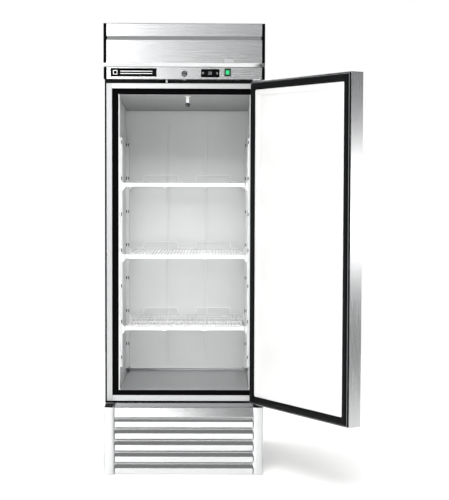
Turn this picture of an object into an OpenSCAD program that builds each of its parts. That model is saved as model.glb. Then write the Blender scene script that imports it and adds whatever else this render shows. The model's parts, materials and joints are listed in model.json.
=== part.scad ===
// Single-door reach-in refrigerator with the refrigerating unit in its base.
// Frame: +X to the right, +Y to the back, +Z up, the door in front at -Y.
// The origin is the centre of the base underside. All sizes are millimetres.

/* [Cabinet] */
// Width over the side panels
cabinet_w = 686; // [640:1:760]
// Depth from the header front to the back panel
cabinet_d = 780; // [740:1:860]
// Height of the insulated cabinet without the header lip
cabinet_h = 1920; // [1880:1:2000]
// Thickness of the outer and inner sheets
sheet = 1.2; // [0.8:0.1:2]
// Height of the base under the insulated box
base_h = 302; // [280:1:320]
// Half width inside the liner walls
room_half = 290; // [285:1:295]
// Inside depth from the door frame to the visible back wall
room_d = 605; // [560:1:620]
// Height of the cabinet floor above the ground
floor_z = 357; // [350:1:370]

/* [Door frame] */
// Half width of the door opening between the liner lips
lip_half = 280.5; // [276:0.5:282]
// Half width inside the black breaker strips
breaker_half = 284; // [283:0.5:286]
// Half width inside the stainless frame
frame_in_half = 312; // [308:1:316]
// Half width outside the stainless frame
frame_out_half = 336; // [330:1:340]
// Height of the opening's top edge
opening_top = 1636; // [1600:1:1650]

/* [Header] */
// Distance that the header stands in front of the door frame
header_reach = 73; // [70:1:76]
// Height of the header top
header_h = 1932; // [1925:1:1960]
// Height of the header underside
header_z = 1698; // [1696:1:1702]
// Width of each black end cap
cap_w = 13; // [8:1:20]

/* [Door] */
// Half width of the door
door_half = 340; // [338:1:341]
// Thickness of the door without its gasket
door_t = 58; // [54:1:60]
// Height of the door's lower edge
door_z0 = 306; // [305.5:0.5:308]
// Height of the door's upper edge
door_z1 = 1689; // [1680:0.5:1690]
// Angle that the door stands open
door_open = 122.7; // [90:0.1:130]
// Hinge pin centre from the cabinet centre
pivot_x = 323; // [321:0.5:325]
// Hinge pin centre in front of the door frame
pivot_reach = 47; // [46.5:0.5:49]
// Radius of the hinge pins
pin_r = 6; // [5:0.5:7]

/* [Shelves] */
// Height of the bottom shelf
shelf_z = 626; // [600:1:660]
// Height from one shelf to the next
shelf_pitch = 315; // [300:1:320]
// Half width of a shelf
shelf_half = 256; // [250:1:258]
// Distance between the deck wires
wire_pitch = 14.5; // [12:0.5:18]
// Thickness of a deck wire
wire_t = 3; // [2:0.5:4]
// Height from one slot of a pilaster to the next
slot_pitch = 157.5; // [150:0.5:160]

/* [Base] */
// Width of each corner post
post_w = 45; // [40:1:55]
// Number of louvres in the front grille
louvres = 5; // [3:1:6]
// Distance between louvres
louvre_pitch = 50.5; // [44:0.5:51]
// Radius of the holes for the caster stems
stem_r = 6.6; // [5:0.1:8]

/* [Hidden] */
half_w = cabinet_w / 2;
front_y = -cabinet_d / 2;
back_y = cabinet_d / 2;
face_y = front_y + header_reach;
wall_y = face_y + room_d;
room_top = 1860;
foam_y = face_y + sheet;
side_in = half_w - sheet;
back_in = back_y - sheet;
breaker_d = 18;
breaker_back = face_y + breaker_d;
plenum_back = wall_y + 40;
cover_drop = 37;
pan_y = face_y + 55;
pivot = [pivot_x, face_y - pivot_reach, 0];
door_y0 = front_y;
door_y1 = front_y + door_t;
gasket_y = face_y - 1;
handle_x = -door_half + 48;
handle_z = 1010;
handle_w = 60;
handle_h = 230;
panel_y = front_y + 10;
panel_top = 1750;
fascia_z0 = 1765;
fascia_z1 = 1864;
strip_z0 = 1877;
head_half = half_w - cap_w;
lock_x = 0;
lock_z = 1720;
lock_throw = 10;
bolt_y = panel_y + 24;
bolt_t = 5;
switch_x = -77;
switch_z = header_z - 7;
set_x = 79.5;
adjust_x = 139.5;
button_z = 1723;
rocker_x = 184;
rocker_z = 1726.5;
post_top = 292;
post_in = half_w - post_w;
stem_x = 290;
stem_y = [-290, 350];
pilaster_x = 274;
pilaster_d = 25;
pilaster_y = [face_y + 81, face_y + 575];
pilaster_foot = [446, 372];
pilaster_z1 = 1453;
slot_z0 = 489;
slot_rise = 7;
band_half = shelf_half + 9;
shelf_y0 = face_y + 67;
shelf_y1 = wall_y - 16;
shelf_h = 16;
fan_y = -150;
fan_z = 1745;
line_x = [-230, -210];
comp_x = 150;
comp_y = 150;
cond_y = -296;
cond_fan_x = -87;
cond_fan_z = 150;
STEEL = [0.78, 0.79, 0.80];
BLACK = [0.07, 0.07, 0.08];
WHITE = [0.93, 0.94, 0.94];
ZINC = [0.66, 0.68, 0.70];
COPPER = [0.72, 0.45, 0.30];
FOAM = [0.90, 0.84, 0.62];
$fn = 48;

// ---- shared shapes ----

// Box between two corners
module block(x0, x1, y0, y1, z0, z1) {
    translate([x0, y0, z0]) cube([x1 - x0, y1 - y0, z1 - z0]);
}

// The same shape on the left and on the right
module both_sides() {
    children();
    mirror([1, 0, 0]) children();
}

// Points of an arc about a centre
function arc(cx, cy, r, a0, a1, n = 6) =
    [for (i = [0:n]) let (a = a0 + (a1 - a0) * i / n) [cx + r * cos(a), cy + r * sin(a)]];

// Outline of a rectangle with round corners about the origin
function round_rect(w, h, r) = concat(
    arc(w / 2 - r, h / 2 - r, r, 0, 90), arc(-w / 2 + r, h / 2 - r, r, 90, 180),
    arc(-w / 2 + r, -h / 2 + r, r, 180, 270), arc(w / 2 - r, -h / 2 + r, r, 270, 360));

// Plate in the XZ plane with round corners, its front face at y0
module front_plate(x, z, w, h, r, y0, y1) {
    translate([x, y1, z]) rotate([90, 0, 0]) linear_extrude(y1 - y0) polygon(round_rect(w, h, r));
}

// Rods along each axis
module rod_x(x0, x1, y, z, r) {
    translate([x0, y, z]) rotate([0, 90, 0]) cylinder(r = r, h = x1 - x0);
}
module rod_y(x, y0, y1, z, r) {
    translate([x, y0, z]) rotate([-90, 0, 0]) cylinder(r = r, h = y1 - y0);
}
module rod_z(x, y, z0, z1, r) {
    translate([x, y, z0]) cylinder(r = r, h = z1 - z0);
}

// Profile given as [y, z] points, carried along X
module along_x(x0, x1, points) {
    translate([x0, 0, 0]) rotate([90, 0, 90]) linear_extrude(x1 - x0) polygon(points);
}

// Bent sheet: a chain of [y, z] points given a wall thickness below and behind each leg
function offset_chain(p, t) = [for (i = [0:len(p) - 1])
    let (a = p[max(i - 1, 0)], b = p[min(i + 1, len(p) - 1)], c = p[i],
        u = (c == a) ? (b - c) / norm(b - c) : (c - a) / norm(c - a),
        v = (c == b) ? u : (b - c) / norm(b - c),
        n1 = [u[1], -u[0]], n2 = [v[1], -v[0]], s = n1 + n2, k = t / (1 + n1 * n2))
    c + s * k];
module bent_sheet(x0, x1, p, t) {
    q = offset_chain(p, t);
    along_x(x0, x1, concat(p, [for (i = [len(q) - 1:-1:0]) q[i]]));
}

// Turns a piece drawn in the closed position to where the door stands open
module on_door() {
    translate(pivot) rotate([0, 0, door_open]) translate(-pivot) children();
}

// ---- cabinet ----

module side_panel_left() {
    color(STEEL) block(-half_w, -side_in, foam_y, back_in, 0, cabinet_h);
}
module side_panel_right() {
    color(STEEL) block(side_in, half_w, foam_y, back_in, 0, cabinet_h);
}

module back_panel() {
    color(ZINC) difference() {
        block(-half_w, half_w, back_in, back_y, base_h, cabinet_h);
        for (x = [-1, 1]) rod_y(x * 200, back_in - 1, back_y + 1, cabinet_h - 60, 5);
    }
}

module top_panel() {
    color(ZINC) block(-side_in, side_in, foam_y, back_in, cabinet_h - sheet, cabinet_h);
}

// Sheet that closes the insulated box above the base
module box_floor_panel() {
    color(ZINC) difference() {
        block(-side_in, side_in, foam_y, back_in, base_h, base_h + sheet);
        for (x = line_x) rod_z(x, plenum_back + 30, base_h - 1, base_h + 2, 9);
    }
}

// Poured insulation: the space between the outer shell and the liner
module cabinet_foam() {
    color(FOAM) difference() {
        block(-side_in, side_in, foam_y, back_in, base_h + sheet, cabinet_h - sheet);
        block(-room_half - 1, room_half + 1, breaker_back + 40, plenum_back + 1, floor_z - 1, room_top + 1);
        block(-room_half - 1, room_half + 1, breaker_back, breaker_back + 41, floor_z - 1, opening_top + 1);
        block(-frame_in_half, frame_in_half, face_y - 1, breaker_back, floor_z - 23, opening_top + 26);
        block(switch_x - 13, switch_x + 13, face_y - 1, foam_y + 28, switch_z - 8, switch_z + 8);
        for (x = line_x) rod_z(x, plenum_back + 30, base_h, room_top - 40, 9);
        for (x = line_x) rod_y(x, plenum_back, plenum_back + 30, room_top - 45, 9);
        for (x = [-1, 1]) rod_y(x * 200, back_in - 13, back_in + 1, cabinet_h - 60, 5);
    }
}

// Side wall of the liner with the folded lip that frames the door opening
module liner_wall() {
    translate([0, 0, floor_z]) linear_extrude(opening_top - floor_z) polygon([
        [room_half, breaker_back + 1], [room_half, plenum_back], [room_half + 1, plenum_back],
        [room_half + 1, breaker_back], [lip_half + 1, breaker_back], [lip_half + 1, face_y + 1],
        [breaker_half, face_y + 1], [breaker_half, face_y], [lip_half, face_y],
        [lip_half, breaker_back + 1]]);
    block(room_half, room_half + 1, breaker_back + 41, plenum_back, opening_top, room_top);
}
module liner_left() {
    color(WHITE) mirror([1, 0, 0]) liner_wall();
}
module liner_right() {
    color(WHITE) liner_wall();
}

module liner_back() {
    color(WHITE) difference() {
        block(-room_half - 1, room_half + 1, plenum_back, plenum_back + 1, floor_z - 1, room_top + 1);
        for (x = line_x) rod_y(x, plenum_back - 1, plenum_back + 2, room_top - 45, 9);
    }
}

// Ceiling of the liner: low over the door, then up and back over the evaporator
module liner_top() {
    color(WHITE) union() {
        block(-room_half, room_half, breaker_back, breaker_back + 41, opening_top, opening_top + 1);
        block(-room_half, room_half, breaker_back + 40, breaker_back + 41, opening_top + 1, room_top);
        block(-room_half - 1, room_half + 1, breaker_back + 40, plenum_back, room_top, room_top + 1);
    }
}

// Stainless floor with a raised pan and coved sides
module floor_pan() {
    cove = room_half - lip_half;
    color(STEEL) union() {
        block(-lip_half + 0.5, lip_half - 0.5, face_y + 1, pan_y, floor_z, floor_z + 1);
        translate([0, wall_y - 1, 0]) rotate([90, 0, 0]) linear_extrude(wall_y - 1 - pan_y) polygon(concat(
            [[-room_half, floor_z - 1], [room_half, floor_z - 1]],
            arc(room_half - cove - 0.2, floor_z + 2 + cove, cove, 0, -90, 5),
            arc(-room_half + cove + 0.2, floor_z + 2 + cove, cove, -90, -180, 5)));
    }
}

// Visible back wall: a duct panel with two upright beads, and air gaps along its top and its hemmed foot
module rear_duct_panel() {
    foot = floor_z + 8;
    color(WHITE) union() {
        block(-room_half + 0.3, room_half - 0.3, wall_y, wall_y + sheet, foot, opening_top - cover_drop - 3);
        block(-lip_half, lip_half, wall_y - 3, wall_y, foot, foot + 6);
        for (x = [-91, 91]) translate([x, wall_y, foot + 20]) linear_extrude(840)
            polygon([[-8, 0], [-4, -3], [4, -3], [8, 0]]);
    }
}

module face_frame() {
    color(STEEL) difference() {
        block(-frame_out_half, frame_out_half, face_y, foam_y, base_h + 7, header_z - 14);
        block(-frame_in_half, frame_in_half, face_y - 1, foam_y + 1, floor_z - 23, opening_top + 26);
    }
}

// Black plastic ring that keeps the cold liner off the warm frame
module thermal_breaker() {
    color(BLACK) difference() {
        block(-frame_in_half, frame_in_half, face_y, breaker_back, floor_z - 23, opening_top + 26);
        block(-breaker_half, breaker_half, face_y - 1, breaker_back + 1, floor_z, opening_top);
    }
}

// Black strips along both edges and the foot of the door frame
module edge_trims() {
    color(BLACK) union() {
        both_sides() block(frame_out_half, half_w, face_y - 0.8, foam_y, base_h, header_z - 14);
        block(-frame_out_half, frame_out_half, face_y - 0.8, foam_y, base_h, base_h + 7);
    }
}

// ---- header ----

// Black steel carrier behind the header panels, seen in the groove and over the door
module header_frame() {
    color(BLACK) difference() {
        union() {
            block(-half_w, half_w, face_y, foam_y, header_z - 14, cabinet_h);
            block(-head_half + 3, head_half - 3, front_y + 5, front_y + 6.2, fascia_z0 + 5, header_h - 6);
            for (x = [-1, 1]) for (p = [120, head_half - 8])
                block(x * p - 1, x * p + 1, front_y + 6.2, face_y, fascia_z0 + 5, header_h - 14);
        }
        block(switch_x - 11.2, switch_x + 11.2, face_y - 1, foam_y + 1, switch_z - 6.2, switch_z + 6.2);
    }
}

module header_top_strip() {
    color(STEEL) bent_sheet(-head_half, head_half, [[front_y, strip_z0], [front_y, header_h],
        [face_y + 17, header_h], [face_y + 17, cabinet_h]], sheet);
}

// Upper front panel, bent in under itself above the controls
module header_fascia() {
    color(STEEL) union() {
        bent_sheet(-head_half, head_half, [[panel_y, panel_top], [front_y, fascia_z0],
            [front_y, fascia_z1], [front_y + 4, fascia_z1]], sheet);
        both_sides() bent_sheet(head_half, half_w, [[panel_y, panel_top], [front_y, fascia_z0]], sheet);
    }
}

// Lower front panel that carries the controls and closes the header below
module control_panel() {
    color(STEEL) difference() {
        bent_sheet(-head_half, head_half, [[face_y - 0.5, header_z], [panel_y, header_z],
            [panel_y, panel_top - 2]], sheet);
        rod_y(lock_x, panel_y - 1, panel_y + 2, lock_z, 9.6);
        block(74, 146, panel_y - 1, panel_y + 2, button_z - 14, button_z + 14);
        block(rocker_x - 11, rocker_x + 11, panel_y - 1, panel_y + 2, rocker_z - 13.5, rocker_z + 13.5);
        block(lock_x - 7, lock_x + 7, bolt_y - 1, bolt_y + bolt_t + 1, header_z - 1, header_z + 2);
    }
}

// Black end caps of the header, one above and one below the bright bend on each side
module end_cap(y0, z0, z1) {
    r = 5;
    translate([0, 0, z0]) linear_extrude(z1 - z0) polygon(concat(
        [[half_w, face_y - 0.3], [head_half, face_y - 0.3], [head_half, y0]],
        arc(half_w - r, y0 + r, r, -90, 0)));
}
module header_end_caps() {
    color(BLACK) both_sides() {
        end_cap(front_y, fascia_z0 + 1, header_h);
        block(head_half, half_w, face_y - 0.3, face_y + 17, cabinet_h, header_h);
        end_cap(panel_y, header_z, panel_top - 1);
    }
}

module badge_plate() {
    color(BLACK) front_plate(-215.5, 1725.5, 195, 35, 1.5, panel_y - 1.8, panel_y);
}

// Electronic thermostat: bezel, body behind the panel, a sunk display window and two button wells
module thermostat() {
    x = (set_x + adjust_x) / 2;
    color(BLACK) difference() {
        union() {
            front_plate(110, button_z, 78, 34.5, 3, panel_y - 4, panel_y);
            block(75, 145, panel_y, panel_y + 48, button_z - 13, button_z + 13);
        }
        front_plate(x, button_z, 44, 20, 1.5, panel_y - 5, panel_y - 2.5);
        for (b = [set_x, adjust_x])
            block(b - 4.8, b + 4.8, panel_y - 5, panel_y + 3, button_z - 5.8, button_z + 5.8);
    }
}
module push_button(x) {
    color([0.35, 0.36, 0.38]) front_plate(x, button_z, 8.8, 10.8, 1.5, panel_y - 4.8, panel_y + 0.6);
}
module button_set() {
    push_button(set_x);
}
module button_adjust() {
    push_button(adjust_x);
}

module rocker_bezel() {
    color([0.05, 0.25, 0.15]) difference() {
        union() {
            front_plate(rocker_x, rocker_z, 28, 33, 2, panel_y - 2.5, panel_y);
            block(rocker_x - 10.5, rocker_x + 10.5, panel_y, panel_y + 24, rocker_z - 13, rocker_z + 13);
        }
        block(rocker_x - 8, rocker_x + 8, panel_y - 3, panel_y + 14, rocker_z - 11.5, rocker_z + 11.5);
    }
}
// Rocker with a shallow V front and a round back, turning about a cross axis behind the panel face
module power_rocker() {
    w = 7.5;
    color([0.10, 0.75, 0.40]) union() {
        along_x(rocker_x - w, rocker_x + w, [[panel_y - 1.2, rocker_z], [panel_y - 3.4, rocker_z - 8.8],
            [panel_y + 2, rocker_z - 8.8], [panel_y + 6, rocker_z - 4], [panel_y + 6, rocker_z + 4],
            [panel_y + 2, rocker_z + 8.8], [panel_y + 0.4, rocker_z + 8.8]]);
        rod_x(rocker_x - w, rocker_x + w, panel_y + 4, rocker_z, 5);
    }
}

// Key lock body with its front collar and clamping nut
module lock_housing() {
    color(STEEL) difference() {
        union() {
            rod_y(lock_x, panel_y - 4, panel_y, lock_z, 12.4);
            rod_y(lock_x, panel_y - 0.01, panel_y + 20, lock_z, 9.5);
            translate([lock_x, panel_y + sheet + 0.2, lock_z]) rotate([-90, 0, 0])
                cylinder(r = 13, h = 4, $fn = 6);
        }
        rod_y(lock_x, panel_y - 5, panel_y + 21, lock_z, 7.55);
    }
}
// Turning barrel with its keyway and the eccentric pin that drives the bolt
module lock_barrel() {
    color(ZINC) difference() {
        union() {
            rod_y(lock_x, panel_y - 4.6, panel_y + 20.4, lock_z, 7.5);
            rod_y(lock_x, panel_y + 20.4, panel_y + 23.4, lock_z, 13);
            rod_y(lock_x + lock_throw * cos(45), panel_y + 23.4, panel_y + 30,
                lock_z + lock_throw * sin(45), 2.2);
        }
        block(lock_x - 0.9, lock_x + 0.9, panel_y - 5, panel_y + 10, lock_z - 4, lock_z + 4);
    }
}
// Flat bolt with a cross slot for the barrel's pin
module lock_bolt() {
    z = lock_z + lock_throw * sin(45);
    y1 = bolt_y + bolt_t;
    color(ZINC) difference() {
        union() {
            block(lock_x - 6, lock_x + 6, bolt_y, y1, header_z - 3, z - 8);
            block(lock_x - 6, lock_x + 17, bolt_y, y1, z - 8, z + 8);
        }
        block(lock_x + 4.2, lock_x + 12.9, bolt_y - 1, y1 + 1, z - 2.9, z + 2.9);
    }
}

// Lamp and fan switch over the door, with a plunger that the closed door pushes in
module door_switch_body() {
    color(BLACK) difference() {
        union() {
            block(switch_x - 14, switch_x + 14, face_y - 0.6, face_y, switch_z - 6.5, switch_z + 6.5);
            block(switch_x - 11, switch_x + 11, face_y, face_y + 26, switch_z - 6, switch_z + 6);
        }
        block(switch_x - 4.4, switch_x + 4.4, face_y - 2, face_y + 18, switch_z - 5.5, switch_z + 5.5);
    }
}
module door_switch_plunger() {
    color(WHITE) front_plate(switch_x, switch_z, 8, 10.2, 1.5, face_y - 20.6, face_y + 8);
}

// ---- cold room ----

// Slotted channel that carries the shelf clips
module pilaster(y, foot) {
    difference() {
        block(pilaster_x, room_half, y, y + pilaster_d, foot, pilaster_z1);
        block(pilaster_x + sheet, room_half + 1, y + sheet, y + pilaster_d - sheet, foot - 1, pilaster_z1 + 1);
        for (i = [0:6]) translate([0, 0, slot_z0 + i * slot_pitch]) {
            block(pilaster_x - 1, pilaster_x + 5, y - 1, y + 7, -slot_rise, slot_rise);
            block(room_half - 5.5, room_half - 0.5, y - 1, y + 7, -slot_rise, slot_rise);
        }
    }
}
module pilasters() {
    color(WHITE) both_sides() for (i = [0, 1]) pilaster(pilaster_y[i], pilaster_foot[i]);
}

// Clip with a ledge under the shelf, a stop beside it and a slanting web back to the pilaster
module shelf_clip(y, z) {
    x1 = pilaster_x;
    x0 = shelf_half - 6;
    translate([0, y + 6, 0]) rotate([90, 0, 0]) linear_extrude(12) polygon([[x1, z + 16], [x1 - 7, z + 14],
        [x1 - 7, z], [x0, z], [x0, z - 3], [x1 - 18, z - 4], [x1 - 2, z - 22], [x1, z - 22]]);
}
module shelf_clips() {
    color(WHITE) both_sides() for (i = [0:2]) for (y = pilaster_y)
        shelf_clip(y + pilaster_d / 2, shelf_z + i * shelf_pitch - 12.4);
}

// Round-cornered wire hump that stops goods at the back of a shelf
module back_stop(z) {
    h = 33;
    foot = -11;
    translate([125, shelf_y1, z + 4]) rotate([90, 0, 0]) linear_extrude(3.5) difference() {
        polygon(concat([[-82, foot], [82, foot]], arc(70, h - 12, 12, 0, 90), arc(-70, h - 12, 12, 90, 180)));
        polygon(concat([[-78.5, foot - 1], [78.5, foot - 1]],
            arc(70, h - 12, 8.5, 0, 90), arc(-70, h - 12, 8.5, 90, 180)));
    }
}

// Welded wire shelf: deck wires on cross rods, a flat front band and two runners
module wire_shelf(z) {
    n = floor((shelf_half - 2) / wire_pitch);
    color(WHITE) union() {
        block(-band_half, band_half, shelf_y0, shelf_y0 + 4, z - shelf_h, z);
        block(-shelf_half, shelf_half, shelf_y1 - 6, shelf_y1, z - 10, z - 2);
        both_sides() block(shelf_half - 6, shelf_half, shelf_y0 + 2, shelf_y1 - 2, z - 12, z - 3);
        for (k = [-n - 0.5:n + 0.5]) block(k * wire_pitch - wire_t / 2, k * wire_pitch + wire_t / 2,
            shelf_y0 + 2, shelf_y1 - 1, z - wire_t, z);
        for (y = [-80, 100]) block(-shelf_half + 1, shelf_half - 1, y - 3, y + 3, z - 9, z - wire_t + 0.5);
        for (s = [-1, 1]) block(s * 89 - 3.5, s * 89 + 3.5, shelf_y0 - 1, shelf_y1 - 1, z - 20.5, z - 8.5);
        both_sides() back_stop(z);
    }
}
module shelf_top() {
    wire_shelf(shelf_z + 2 * shelf_pitch);
}
module shelf_middle() {
    wire_shelf(shelf_z + shelf_pitch);
}
module shelf_bottom() {
    wire_shelf(shelf_z);
}

// Sloping ceiling panel under the evaporator with a row of intake slots near its front
module evaporator_cover() {
    y0 = breaker_back + 1;
    color(WHITE) difference() {
        union() {
            block(-lip_half + 0.5, lip_half - 0.5, face_y + 1, y0, opening_top - sheet, opening_top);
            along_x(-room_half + 0.3, room_half - 0.3, [[y0, opening_top - sheet],
                [y0, opening_top], [wall_y + sheet, opening_top - cover_drop],
                [wall_y + sheet, opening_top - cover_drop - sheet]]);
        }
        for (x = [-240:30:240]) block(x - 11, x + 11, y0 + 43, y0 + 51, opening_top - 20, opening_top + 5);
    }
}

// Finned coil with its end plates and the tube runs between them
module evaporator_coil() {
    color(ZINC) union() {
        for (i = [0:28]) block(-210 + i * 15 - 0.4, -210 + i * 15 + 0.4, -60, 110, 1650, 1840);
        for (x = [-226, 224]) block(x, x + 2, -64, 114, 1644, 1846);
        for (y = [-30, 25, 80]) for (z = [1675, 1715, 1755, 1795]) rod_x(-232, 232, y, z, 5);
    }
}

// Bladed wheel: a hub with slanted blades about a Y axis
module fan_wheel(x, y, z, r, blades) {
    translate([x, y, z]) rotate([-90, 0, 0]) difference() {
        union() {
            translate([0, 0, -14]) cylinder(r = 20, h = 28);
            for (i = [0:blades - 1]) rotate([0, 0, i * 360 / blades])
                translate([17, 0, 0]) rotate([32, 0, 0])
                translate([0, -r * 0.28, -0.9]) cube([r - 20, r * 0.56, 1.8]);
        }
        translate([0, 0, -4]) cylinder(r = 3.05, h = 19);
    }
}
// Motor on a cross strut inside a square shroud with a round throat
module fan_mount(x, y, z, r, w, h) {
    difference() {
        block(x - w / 2, x + w / 2, y - 1, y + 1, z - h / 2, z + h / 2);
        rod_y(x, y - 2, y + 2, z, r + 5);
    }
    block(x - r - 9, x + r + 9, y + 44, y + 47, z - 8, z + 8);
    for (s = [-1, 1]) block(x + s * (r + 7.5) - 1.5, x + s * (r + 7.5) + 1.5, y + 1, y + 44, z - 8, z + 8);
    rod_y(x, y + 18, y + 44, z, 24);
    rod_y(x, y - 2, y + 18, z, 3);
}
module evaporator_fan() {
    color([0.15, 0.15, 0.16]) fan_wheel(0, fan_y, fan_z, 80, 5);
}
module evaporator_fan_mount() {
    color(ZINC) fan_mount(0, fan_y, fan_z, 80, 440, 214);
}

// Lampholder under the ceiling with a small round bulb
module interior_lamp() {
    x = 12.5;
    y = -282;
    z = opening_top - 3.3;
    color(WHITE) union() {
        rod_z(x, y, z - 3, z, 14);
        rod_z(x, y, z - 32, z - 2.9, 6.5);
        translate([x, y, z - 38]) sphere(r = 10.5);
    }
}

// ---- base ----

// Welded tray with side flanges and four stiffened corners for the caster stems
module base_frame() {
    tray = 2;
    color(ZINC) difference() {
        union() {
            block(-side_in, side_in, face_y, back_in, 0, tray);
            both_sides() block(side_in - 2, side_in, foam_y, back_in, tray, 30);
            both_sides() for (y = stem_y) block(stem_x - 28, stem_x + 28, y - 25, y + 25, tray, 8);
        }
        both_sides() for (y = stem_y) rod_z(stem_x, y, -1, 9, stem_r);
    }
}

// Corner posts in front of the base with well rounded upright edges
module corner_posts() {
    r = 14;
    color(STEEL) both_sides() difference() {
        linear_extrude(post_top) polygon(concat([[half_w, face_y], [post_in, face_y]],
            arc(post_in + r, front_y + r, r, 180, 270), arc(half_w - r, front_y + r, r, 270, 360)));
        translate([0, 0, -1]) linear_extrude(post_top - 1) polygon(concat(
            [[half_w - 2, face_y - 2], [post_in + 2, face_y - 2]],
            arc(post_in + r, front_y + r, r - 2, 180, 270), arc(half_w - r, front_y + r, r - 2, 270, 360)));
    }
}

// Louvred front panel with a sloping ledge on top, between the posts
module front_grille() {
    x1 = post_in - 0.5;
    y = front_y + 4;
    top = 290;
    z1 = 248;
    color(STEEL) union() {
        bent_sheet(-x1, x1, [[y + 7, z1 - 1], [y + 0.6, z1], [y + 8.5, top], [face_y - 1.5, base_h + 1.5]], 1.5);
        for (i = [0:louvres - 1]) let (z = z1 - 28 - i * louvre_pitch)
            bent_sheet(-x1, x1, [[y + 11, z - 17], [y + 5, z - 16.5], [y, z + 9.5], [y + 15, z + 31]], 1.5);
        both_sides() block(x1 - 2, x1, y + 1.5, y + 22, 0, top);
        block(-x1, x1, y + 1, y + 22, 0, 2);
    }
}

// Slotted service panel at the back of the base
module rear_grille() {
    color(ZINC) difference() {
        block(-half_w, half_w, back_in, back_y, 0, base_h);
        for (z = [60:18:240]) for (x = [-250:100:50])
            block(x - 40, x + 40, back_in - 1, back_y + 1, z, z + 6);
        block(198, 302, back_in - 1, back_y + 1, 68, 142);
    }
}

// Hermetic compressor: domed can on four feet
module compressor() {
    color(BLACK) translate([comp_x, comp_y, 0]) union() {
        translate([0, 0, 20]) rotate_extrude() polygon(concat([[0, 0], [78, 0], [84, 10], [84, 110]],
            arc(44, 130, 40, -15, 90, 8), [[0, 170]]));
        block(-95, 95, -60, -30, 14, 20.5);
        block(-95, 95, 30, 60, 14, 20.5);
        for (x = [-80, 80]) for (y = [-45, 45]) rod_z(x, y, 2, 14, 12);
        block(80, 106, -32, 32, 60, 120);
    }
}

module condenser_coil() {
    color(ZINC) union() {
        translate([cond_fan_x, cond_y, 0]) {
            for (i = [-13:13]) block(i * 12 - 0.4, i * 12 + 0.4, 0, 50, 24, 280);
            for (s = [-1, 1]) block(s * 164 - 1, s * 164 + 1, -4, 54, 8, 290);
            for (y = [14, 36]) for (z = [50:40:250]) rod_x(-170, 170, y, z, 4.5);
        }
    }
}
module condenser_fan() {
    color([0.15, 0.15, 0.16]) fan_wheel(cond_fan_x, cond_y + 92, cond_fan_z, 100, 5);
}
module condenser_fan_mount() {
    color(ZINC) fan_mount(cond_fan_x, cond_y + 92, cond_fan_z, 100, 318, 280);
}

// Pan that catches the melt water, over the compartment floor
module drain_pan() {
    color(BLACK) difference() {
        block(-300, -20, 128, 318, 2, 42);
        block(-297, -23, 131, 315, 5, 43);
    }
}

// Quarter bend of a tube in the plane given by its turn, its centre at the origin
module bend(radius, r) {
    rotate_extrude(angle = 90) translate([radius, 0]) circle(r = r, $fn = 24);
}
// One line from the compressor up through the back insulation to the evaporator
module riser(x, r, z0) {
    y = plenum_back + 30;
    rod_z(x, y, z0, room_top - 60, r);
    translate([x, y - 15, room_top - 60]) rotate([90, 0, 90]) bend(15, r);
    rod_y(x, y - 60, y - 15, room_top - 45, r);
}
// One line from the foot of a riser across to the compressor's side
module floor_run(x, r, z0, x1) {
    y = plenum_back + 30;
    z = z0 - 15;
    translate([x + 15, y, z0]) rotate([90, 180, 0]) bend(15, r);
    rod_x(x + 15, x1 - 15, y, z, r);
    translate([x1 - 15, y - 15, z]) bend(15, r);
    rod_y(x1, comp_y + 84.2, y - 15, z, r);
}
module refrigerant_lines() {
    color(COPPER) union() {
        riser(line_x[0], 6, 60);
        floor_run(line_x[0], 6, 60, comp_x);
        riser(line_x[1], 4, 90);
        floor_run(line_x[1], 4, 90, comp_x - 12);
    }
}

// Relay box with the flush power inlet in the service panel
module electrical_box() {
    color(BLACK) difference() {
        union() {
            block(190, 310, back_in - 90, back_in - 1, 60, 150);
            block(200, 300, back_in - 1, back_y - 1, 70, 140);
        }
        block(236, 264, back_in - 16, back_y, 92, 112);
    }
}

// ---- door ----

// Plate and pin over the door, under the header
module hinge_bracket_top() {
    r = 16;
    z0 = header_z - 4;
    color(STEEL) union() {
        translate([0, 0, z0]) linear_extrude(4) polygon(concat([[292, face_y - 1], [292, pivot[1] - 8]],
            arc(pivot_x, pivot[1] - 2, r, 225, 360), [[half_w - 4, face_y - 1]]));
        rod_z(pivot_x, pivot[1], z0 - 34, z0 + 1, pin_r);
    }
}

// Plate on the right post with the pin under the door
module hinge_bracket_bottom() {
    r = 18;
    z1 = post_top + 6;
    color([0.2, 0.2, 0.21]) union() {
        translate([0, 0, post_top]) linear_extrude(6) polygon(concat([[post_in + 2, face_y - 1],
            [post_in + 2, front_y + 3]], arc(half_w - r - 1, front_y + r + 1, r, 270, 360),
            [[half_w - 1, face_y - 1]]));
        rod_z(pivot_x, pivot[1], z1 - 0.01, z1 + 4.6, 10);
        rod_z(pivot_x, pivot[1], z1, z1 + 36, pin_r);
    }
}

// Plastic bushes pressed into the door's top and bottom edges
module hinge_bushes() {
    color(WHITE) on_door() difference() {
        union() {
            rod_z(pivot_x, pivot[1], door_z0 - 2.9, door_z0, 12);
            rod_z(pivot_x, pivot[1], door_z0, door_z0 + 32, 9);
            rod_z(pivot_x, pivot[1], door_z1 - 32, door_z1, 9);
            rod_z(pivot_x, pivot[1], door_z1, door_z1 + 4, 12);
        }
        rod_z(pivot_x, pivot[1], door_z0 - 4, door_z0 + 30, pin_r + 0.05);
        rod_z(pivot_x, pivot[1], door_z1 - 31, door_z1 + 5, pin_r + 0.05);
    }
}

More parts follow.
